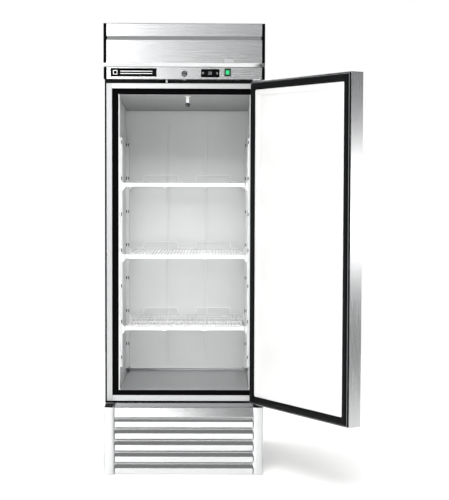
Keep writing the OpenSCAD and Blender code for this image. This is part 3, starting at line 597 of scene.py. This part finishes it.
def make_duct_panel():
    """Back wall sheet: its face bulges forward by a half cosine at two upright beads, above a rolled hem."""
    low, high = span("rear_duct_panel")
    face, depth, bead_x, reach = high[1] - 1.2, 3.0, 91, 11.0
    x = np.unique(np.concatenate([[low[0], high[0]], np.linspace(-bead_x - reach, -bead_x + reach, 13),
                                  np.linspace(bead_x - reach, bead_x + reach, 13)]))
    z = np.array([low[2] + 3, low[2] + 26, low[2] + 60, high[2] - 70, high[2] - 40, high[2]])
    near = np.clip(np.minimum(abs(x - bead_x), abs(x + bead_x)) / reach, 0, 1)
    end = np.array([0, 0, 1, 1, 0, 0])
    bulge = depth * 0.5 * (1 + np.cos(math.pi * near))[None] * end[:, None]
    front = np.stack([np.broadcast_to(x, bulge.shape), face - bulge,
                      np.broadcast_to(z[:, None], bulge.shape)], -1)
    sheet = front.reshape(-1, 3)
    count = len(sheet)
    rows, columns = bulge.shape
    grid = strips(rows, columns)
    rim = np.concatenate([np.arange(columns), np.arange(1, rows) * columns + columns - 1,
                          (rows - 1) * columns + np.arange(columns - 1)[::-1],
                          np.arange(1, rows - 1)[::-1] * columns])
    wall = np.stack([rim, np.roll(rim, -1), np.roll(rim, -1) + count, rim + count], -1)
    slab = np.concatenate([sheet, sheet + (0, 1.1, 0)]), [grid, grid[:, ::-1] + count, wall]
    hem = swept([(low[0] + 8, face - 1, low[2] + 9), (low[0] + 10, face - 1, low[2] + 3.2),
                 (low[0] + 16, face - 1, low[2] + 3), (high[0] - 16, face - 1, low[2] + 3),
                 (high[0] - 10, face - 1, low[2] + 3.2), (high[0] - 8, face - 1, low[2] + 9)],
                circle(3.0, 10), (0, 1, 0))
    piece("duct_panel_sheet", [slab, hem], COATED_WHITE, "rear_duct_panel", True)
    knob = [(0.4, 0), (5.2, 0), (5.2, -2.2), (4.4, -3.6), (2.2, -4.6), (0.4, -4.8)]
    knobs = [lathe(knob, (x, low[1] + 2.8, low[2] + 7), (0, 1, 0), 20) for x in (-275, 275)]
    piece("duct_panel_thumb_screws", knobs, ZINC_PLATE, "rear_duct_panel")


# ---- header ----

def make_header():
    """Folded header panels with round bends, end caps, the carrier, a grey strip in the groove as painted shade, and
    a blank plate.
    """
    low, high = span("header_top_strip")
    back = high[1]
    strip = bent([(low[1], low[2]), (low[1], high[2]), (back, high[2]), (back, low[2] + 43)], 1.2, 1.6)
    piece("header_top_strip_folded", [along_x(strip, low[0], high[0])], STEEL_LEVEL, "header_top_strip", True)
    low, high = span("header_fascia")
    half = span("header_top_strip")[1][0]
    panel_y = span("control_panel")[0][1]
    bend_z = low[2] + 15
    fascia = bent([(panel_y, low[2]), (low[1], bend_z), (low[1], high[2]), (low[1] + 4, high[2])], 1.2, 1.6)
    brow = bent([(panel_y, low[2]), (low[1], bend_z)], 1.2, 0)
    brows = [along_x(brow, *ends) for ends in ((low[0], -half), (half, high[0]))]
    piece("header_fascia_folded", [along_x(fascia, -half, half)] + brows, STEEL_LEVEL, "header_fascia", True)
    softened("control_panel", STEEL_LEVEL, 0.5)
    softened("header_frame", POWDER_BLACK, 0.4)
    softened("header_end_caps", ABS_BLACK, 1.5, 3)
    # A grey strip stands in the groove between the top strip and the fascia, painted shade for the recess.
    groove_z, face = low[2] + 120.5, low[1]
    groove = stacked((0, groove_z), half - 3.5, 10, 1, [(0.6, face + 4.9), (0, face + 4.6), (0.8, face + 4.3)])
    piece("header_groove_painted_shade_strip", [groove], GREY_COAT_AND_PAINTED_LIGHT, "header_frame")
    plate, plate_half_w, plate_half_h = (191.5, low[2] + 25), 21.5, 8.8
    blank = [(0, face + 0.6), (0, face - 0.1), (0.5, face - 0.35)]
    edge = [(-0.7, face + 0.5), (-0.7, face - 0.05), (0.3, face - 0.05), (0.3, face + 0.5)]
    piece("blank_rating_plate", [stacked(plate, plate_half_w, plate_half_h, 1.5, blank)], FIN_METAL, "header_fascia")
    piece("rating_plate_edge", [stacked(plate, plate_half_w, plate_half_h, 2, edge, ring=True)], GREY_COAT_AND_PAINTED_LIGHT,
          "header_fascia")


def make_badge():
    """Blank gloss plate with a plain square ring and two plain bars inlaid in it."""
    low, high = span("badge_plate")
    centre = (low[0] + high[0]) / 2, (low[2] + high[2]) / 2
    half_w, half_h, front = (high[0] - low[0]) / 2, (high[2] - low[2]) / 2, low[1]
    face = [(0, high[1]), (0, front + 0.6), (0.2, front + 0.15), (0.7, front)]
    piece("badge_gloss_plate", [stacked(centre, half_w, half_h, 1.5, face)], ACRYLIC_BLACK, "badge_plate", True)
    inlay = [(0, front + 0.3), (0, front - 0.12), (2.2, front - 0.12), (2.2, front + 0.3)]
    bar = [(0, front + 0.3), (0, front - 0.08), (0.2, front - 0.12)]
    ring = stacked((centre[0] - 78, centre[1]), 9, 9, 2.2, inlay, ring=True)
    bars = [stacked((centre[0] + 12, centre[1] + z), 68, 1.3, 1.2, bar) for z in (-5, 5)]
    piece("badge_inlay", [ring] + bars, SILVER_INLAY, "badge_plate")


# column and row of each segment's middle, and whether it lies level
SEGMENTS = {"a": (0, 1, True), "b": (1, 0.5, False), "c": (1, -0.5, False), "d": (0, -1, True),
            "e": (-1, -0.5, False), "f": (-1, 0.5, False), "g": (0, 0, True)}
DIGITS = {"3": "abcdg", "8": "abcdefg"}


def digit(mark, x, z, y, height):
    """Seven-segment numeral: each lit segment is a thin bar with pointed ends."""
    half, thick, shells = height / 2, height * 0.055, []
    for name in DIGITS[mark]:
        column, row, level = SEGMENTS[name]
        reach = (0.5 if level else 0.46) * half - thick
        corners = np.array([(-reach - thick, 0), (-reach, thick), (reach, thick), (reach + thick, 0),
                            (reach, -thick), (-reach, -thick)])
        if not level:
            corners = corners[:, ::-1]
        flat = corners + (column * half * 0.5, row * half)
        front = np.column_stack([x + flat[:, 0], np.full(6, y), z + flat[:, 1]])
        shells.append((np.concatenate([front, front + (0, 0.15, 0)]),
                       [strips(2, 6, False, True), np.arange(6)[None], np.arange(6)[None] + 6]))
    return shells


def make_controls():
    """Thermostat bezel with its display and keys, the power rocker, the lock and the door switch."""
    softened("thermostat", ABS_BLACK, 0.9, 3)
    low, high = span("thermostat")
    middle_x, middle_z = (low[0] + high[0]) / 2, (low[2] + high[2]) / 2
    window_y = low[1] + 1.3
    glass = [(0, window_y + 0.3), (0, window_y), (0.4, window_y - 0.2)]
    piece("display_window", [stacked((middle_x - 0.5, middle_z), 21.6, 9.6, 1.2, glass)], ACRYLIC_BLACK, "thermostat")
    numeral_y, numeral_height, numerals = window_y - 0.4, 11, []
    for mark, shift in (("3", -6), ("8", 3)):
        numerals += digit(mark, middle_x + shift, middle_z, numeral_y, numeral_height)
    piece("display_numerals", numerals, DIGIT_GLOW, "thermostat")
    for node in ("button_set", "button_adjust"):
        softened(node, KEY_BLACK, 0.8, 3)
        low, high = span(node)
        x, y, z = (low[0] + high[0]) / 2, low[1], (low[2] + high[2]) / 2
        arrows = []
        for side in (-1, 1):
            tip = np.array([(-2.6, 1.2), (2.6, 1.2), (0, 4.4)]) * (1, side) + (x, z)
            front = np.column_stack([tip[:, 0], np.full(3, y - 0.04), tip[:, 1]])
            arrows.append((np.concatenate([front, front + (0, 0.3, 0)]),
                           [strips(2, 3, False, True), np.arange(3)[None], np.arange(3)[None] + 3]))
        piece(node + "_arrows", arrows, SILVER_INLAY, node)
    softened("rocker_bezel", GREEN_FRAME, 0.8, 3)
    softened("power_rocker", ROCKER_GREEN, 0.7, 3)
    softened("lock_housing", CHROME, 0.6, 3)
    softened("lock_barrel", CHROME, 0.35, 2)
    softened("lock_bolt", ZINC_PLATE, 0.5)
    low, high = span("lock_housing")
    place = (0, low[1], (low[2] + high[2]) / 2)
    # Black rings round the collar and between housing and barrel are painted shade in the lock's grooves.
    shade = lathe([(9.1, 1.5), (9.1, -0.25), (12.3, -0.25), (12.3, 1.5)], place, (0, 1, 0), 40)
    inner = lathe([(7.6, 1.5), (7.6, 0.1), (8.4, -0.1), (8.4, 1.5)], place, (0, 1, 0), 40)
    piece("lock_collar_painted_shade_rings", [shade, inner], ABS_BLACK, "lock_housing")
    face = span("lock_barrel")[0][1]
    # A black line on the barrel's face is painted shade in the keyway.
    mark = fillet([(-4.9, 2.6), (-2.9, -3.4), (0, 1.4), (2.9, -3.4), (4.9, 2.6)], (1, 0.6, 1), 5)
    line = np.column_stack([mark[:, 0], np.full(len(mark), face + 0.2), mark[:, 1] + place[2]])
    piece("lock_keyway_painted_shade", [swept(line, outline(0.35, 1.5, 0.3, 3), (0, 1, 0))], ABS_BLACK, "lock_barrel")
    softened("door_switch_body", ABS_BLACK, 0.5)
    softened("door_switch_plunger", NYLON_WHITE, 1.4, 3)


# ---- inside the room ----

CROSS_ROD_Y = (-226, -140, 2, 162)
RUNNER_X = 89
HUMP_X = 125


def wire_shelf(node):
    """Coated wire shelf: thin deck wires on cross rods, inside a heavier frame wire with a flat front band.

    Two rods run front to back under the deck, and a wire with two humps stands along its back edge.
    """
    low, high = span(node)
    band_half, front, back = high[0], low[1] + 1, high[1]
    half = band_half - 9
    top = low[2] + 20.5
    thin, rod, frame_wire, pitch = 1.9, 2.8, 3.0, 14.1
    deck_z = top - thin
    rod_z = deck_z - thin - rod + 0.4
    count = int((half - 4) // pitch)
    shells = []
    for k in np.arange(-count - 0.5, count + 1):
        path = [(k * pitch, front + 2, deck_z), (k * pitch, back - 3, deck_z)]
        shells.append(swept(path, circle(thin, 8), (1, 0, 0)))
    for y in CROSS_ROD_Y:
        path = [(-half + 4, y, rod_z), (half - 4, y, rod_z)]
        shells.append(swept(path, circle(rod, 8), (0, 1, 0)))
    corner = fillet([(-half + 3, front + 20), (-half + 3, back - 3), (half - 3, back - 3), (half - 3, front + 20)],
                    (14, 14), 6)
    loop = np.column_stack([corner, np.full(len(corner), top - 7.5)])
    shells.append(swept(loop, circle(frame_wire, 8), (0, 0, 1)))
    edge = fillet([(-half + 2, front + 46), (-band_half + 2, front + 18), (-band_half + 2, front + 2),
                   (band_half - 2, front + 2), (band_half - 2, front + 18), (half - 2, front + 46)], (8, 7, 7, 8), 6)
    band = np.column_stack([edge, np.full(len(edge), top - 8)])
    bar = outline(8, 2, 1.9, 4)
    shells.append(swept(band, bar, (0, 0, 1)))
    for x in (-RUNNER_X, RUNNER_X):
        path = [(x, front - 0.8, top - 15.4), (x, back - 1, top - 15.4)]
        shells.append(swept(path, circle(4.8, 12), (0, 0, 1)))
    hump, foot, crest = [], top + 4.6, high[2] - 1.75
    for middle in (-HUMP_X, HUMP_X):
        hump += [(middle - 82, foot), (middle - 80, crest), (middle + 80, crest), (middle + 82, foot)]
    trace = fillet([(-half + 12, foot)] + hump + [(half - 12, foot)], (6, 12, 12, 6) * 2, 6)
    rail = np.column_stack([trace[:, 0], np.full(len(trace), back - 1.75), trace[:, 1]])
    shells.append(swept(rail, circle(1.7, 8), (0, 1, 0)))
    piece("round_wire_" + node, shells, EPOXY_WHITE, node, True, 50)


def make_lamp():
    """Ceiling lamp: a stepped holder, a white neck and a smoked round bulb."""
    low, high = span("interior_lamp")
    x, y = (low[0] + high[0]) / 2, (low[1] + high[1]) / 2
    top, tip = high[2], low[2]
    holder = [(0.5, 0), (14, 0), (14, -2.2), (13, -3.2), (7.5, -3.6), (6.9, -6), (6.5, -30), (5.8, -31.5), (0.5, -32)]
    piece("lamp_holder", [lathe(holder, (x, y, top), (0, 0, 1), 32)], NYLON_WHITE, "interior_lamp", True)
    angle = np.linspace(-math.pi / 2 + 0.02, math.pi / 2 - 0.35, 16)
    ball = np.stack([10.4 * np.cos(angle), 10.4 * np.sin(angle)], -1)
    piece("lamp_bulb", [lathe(ball, (x, y, tip + 10.5), (0, 0, 1), 32)], LAMP_GLASS, "interior_lamp")


# ---- base ----

def make_base():
    """Louvred grille between rounded corner posts.

    The panel over the louvres leans back. A louvre leans out at its top, its foot curls in, and its upper leg runs
    back up behind the louvre above it.
    """
    low, high = span("front_grille")
    x1 = high[0]
    front, top, foot = low[1], 290.0, 248.0
    panel = bent([(front + 7, foot - 1), (front + 0.6, foot), (front + 8.5, top), (high[1], high[2])], 1.5, 1.4)
    shells = [along_x(panel, -x1, x1)]
    louvres, first_drop, pitch = 5, 28, 50.5
    for i in range(louvres):
        z = foot - first_drop - i * pitch
        blade = bent([(front + 11, z - 17), (front + 5, z - 16.5), (front + 1.4, z - 10.5), (front, z + 9.5),
                      (front + 15, z + 31)], 1.3, 1.8)
        shells.append(along_x(blade, -x1, x1))
    for s in (-1, 1):
        shells.append(stacked((s * (x1 - 1), top / 2), 1, top / 2, 0.4, [(0, front + 9), (0, high[1] - 50)]))
    shells.append(stacked((0, 1.1), x1, 1, 0.4, [(0, front + 9), (0, front + 22)]))
    # The grille takes a lighter copy of the stainless, painted highlight.
    piece("louvred_grille", shells, STEEL_GRILLE_PAINTED_HIGHLIGHT, "front_grille", True)
    # The corner posts take a lighter copy of the stainless, painted highlight.
    softened("corner_posts", STEEL_POST_PAINTED_HIGHLIGHT, 1.6, 3, 50)
    softened("hinge_bracket_bottom", POWDER_BLACK, 1.2, 3)
    softened("hinge_bracket_top", ZINC_PLATE, 0.8, 2)
    post_top = span("corner_posts")[1][2]
    cover = stacked((-324.5, -352), 16.5, 35, 8, [(0.8, post_top + 5), (0, post_top + 4.2), (0, post_top + 0.1)])
    piece("spare_hinge_cover", [on_end(cover)], POWDER_BLACK, "corner_posts")


def make_machinery():
    """Cooling parts, seen only through the louvres and slots."""
    dress("compressor", POWDER_BLACK)
    for node in ("evaporator_coil", "condenser_coil"):
        dress(node, FIN_METAL)
    for node in ("evaporator_fan", "condenser_fan", "drain_pan"):
        dress(node, ABS_BLACK)
    for node in ("evaporator_fan_mount", "condenser_fan_mount"):
        dress(node, ZINC_PLATE)
    dress("refrigerant_lines", COPPER)
    softened("electrical_box", ABS_BLACK, 0.8)


# ---- door ----

def make_door():
    """Folded skin, formed inner panel, hollow magnetic gasket and handle cup, drawn closed and turned open."""
    softened("door_skin", STEEL_UPRIGHT, 0.55)
    softened("hinge_bushes", NYLON_WHITE, 0.4)
    bottom, top, inner, outer = 306.0, 1689.0, -332.0, -390.0
    centre = (0, (bottom + top - 1.5) / 2)
    half_w, half_h = 338, (top - bottom - 5.5) / 2
    lip = [(0, inner), (0, inner + 4.2), (1.4, inner + 5.7), (6.5, inner + 6), (8.2, inner + 7),
           (8.6, inner + 10.6), (10.4, inner + 13.2), (14, inner + 14), (18.2, inner + 13.3), (22, inner + 14),
           (26, inner + 13.3), (28.3, inner + 10.6), (28.8, inner + 7), (30.4, inner + 6), (33, inner + 5.4),
           (33.8, inner + 4), (34, inner)]
    piece("hollow_gasket", [stacked(centre, half_w, half_h, 3, lip, ring=True)], PVC_BLACK, "door_gasket", True)
    # A thin grey ring on the black gasket near its outer edge, painted highlight.
    highlight_line = [(2.2, inner + 5.3), (2.4, inner + 6.5), (4.6, inner + 6.7), (4.8, inner + 5.3)]
    piece("gasket_painted_highlight_line", [stacked(centre, half_w, half_h, 3, highlight_line, ring=True)], GREY_COAT_AND_PAINTED_LIGHT, "door_gasket")
    centre = (0, (bottom + top) / 2)
    form = [(0, inner), (0, inner + 4.6), (0.8, inner + 6.2), (2.6, inner + 7), (20, inner + 7), (23.5, inner + 6.6),
            (27, inner + 5.2), (30, inner + 4.3), (34, inner + 4)]
    panel = stacked(centre, 303.4, (top - bottom) / 2 - 36.6, 8, form)
    piece("formed_inner_panel", [panel], ABS_WHITE, "door_liner", True)
    handle, handle_half_w, handle_half_h = (-292, 1010), 30, 115
    cup = [(0, outer + 34), (0, outer), (-4.6, outer), (-5.2, outer - 0.5), (-5, outer - 1.1), (-3, outer - 1.5),
           (0.6, outer - 1.4), (2.6, outer - 0.6), (3.3, outer + 1), (3.8, outer + 18), (5.4, outer + 26),
           (9, outer + 30.4), (14, outer + 31.8), (18, outer + 32)]
    cup_shell = stacked(handle, handle_half_w, handle_half_h, 12, cup, steps=8)
    piece("moulded_handle_cup", [cup_shell], ABS_BLACK, "handle_cup", True)


make_cabinet()
make_back_panel()
make_face_frame()
make_pilasters()
make_floor_pan()
make_duct_panel()
make_header()
make_badge()
make_controls()
for shelf in ("shelf_top", "shelf_middle", "shelf_bottom"):
    wire_shelf(shelf)
make_lamp()
make_base()
make_machinery()
make_door()


# ---- stage ----

def make_floor():
    """Pale studio floor: a disc of matt paper a millimetre thick, just under the cabinet."""
    radius, sides = 3800, 96
    points, _ = lathe([(radius, -0.4), (radius, -1.4)], (0, 0, 0), (0, 0, 1), sides)
    faces = strips(2, sides, False, True).tolist() + [list(range(sides)), list(range(2 * sides - 1, sides - 1, -1))]
    mesh = bpy.data.meshes.new("studio_floor")
    mesh.from_pydata(points * MM, [], faces)
    paper = moulded("pale_matt_paper", "f2f2f1", "f5f5f4", 0.9, 2.0, 0.01)
    mesh.materials.append(paper)
    floor = bpy.data.objects.new("studio_floor", mesh)
    bpy.context.scene.collection.objects.link(floor)


# name, place, target, width and height in metres, power in watts, lights matt surfaces, shows in glossy ones
LIGHTS = [
    ("high_front_softbox", (0, -4.4, 4.3), (0, 0, 0.6), 2.5, 2.0, 225, True, False),
    ("overhead_softbox", (0.2, -2.2, 4.2), (0.2, -0.4, 0), 4.5, 4.0, 112, True, False),
    ("left_fill", (-3.0, -6.5, 2.2), (0, 0, 1.0), 2.0, 2.5, 10, True, False),
    ("low_fill", (0.3, -6.6, 0.9), (0, 0, 0.6), 2.6, 1.2, 30, True, False),
    ("floor_softbox", (0.1, -3.0, 1.7), (0.1, -2.9, 0), 2.6, 2.0, 26, True, False),
    ("background_softbox", (0, 3.5, 5.0), (0, 3.4, 0), 9.0, 6.0, 540, True, False),
    ("left_screen", (-3.1, -7.6, 2.5), (0, -0.4, 1.2), 3.0, 2.4, 270, False, True),
    ("low_left_screen", (-1.35, -7.6, 1.55), (0, -0.4, 1.2), 2.3, 0.5, 14, False, True),
    ("far_left_screen", (-5.0, -3.0, 1.5), (0, -0.4, 1.2), 3.0, 3.0, 120, False, True),
    ("high_screen", (-0.6, -7.6, 3.8), (0, -0.4, 1.6), 3.0, 1.5, 14, False, True),
    ("right_strip", (3.7, -1.9, 1.1), (0.68, -0.92, 1.12), 0.9, 0.6, 7.8, False, True),
]
ROOM_MATT, ROOM_GLOSSY, ROOM_SEEN = 0.15, 0.24, 1.0


def light_studio():
    """Rectangular lights in a pale room, none of them visible to the camera.

    This isn't light as it would fall in a real room. Each lamp either lights matt surfaces or shows in glossy ones,
    and the room has one strength for matt surfaces, another for glossy ones, and is plain white to the camera.
    """
    for name, place, target, width, height, power, lights_matt, shows_in_gloss in LIGHTS:
        softbox(name, place, target, width, height, power)
        bpy.data.objects[name].visible_diffuse = lights_matt
        bpy.data.objects[name].visible_glossy = shows_in_gloss
        bpy.data.objects[name].visible_camera = False
    world = bpy.data.worlds.new("pale_room")
    world.use_nodes = True
    tree = world.node_tree
    tree.nodes.clear()
    path = add(tree, "LightPath")
    matt, glossy, paper = (add(tree, "Background", {"Color": (1, 1, 1, 1), "Strength": strength}).outputs[0]
                           for strength in (ROOM_MATT, ROOM_GLOSSY, ROOM_SEEN))
    room = add(tree, "MixShader", links={0: path.outputs["Is Glossy Ray"], 1: matt, 2: glossy})
    mix = add(tree, "MixShader", links={0: path.outputs["Is Camera Ray"], 1: room.outputs[0], 2: paper})
    add(tree, "OutputWorld", links={"Surface": mix.outputs[0]})
    bpy.context.scene.world = world
    bpy.context.scene.view_settings.view_transform = "Standard"


place_camera()
make_floor()
light_studio()
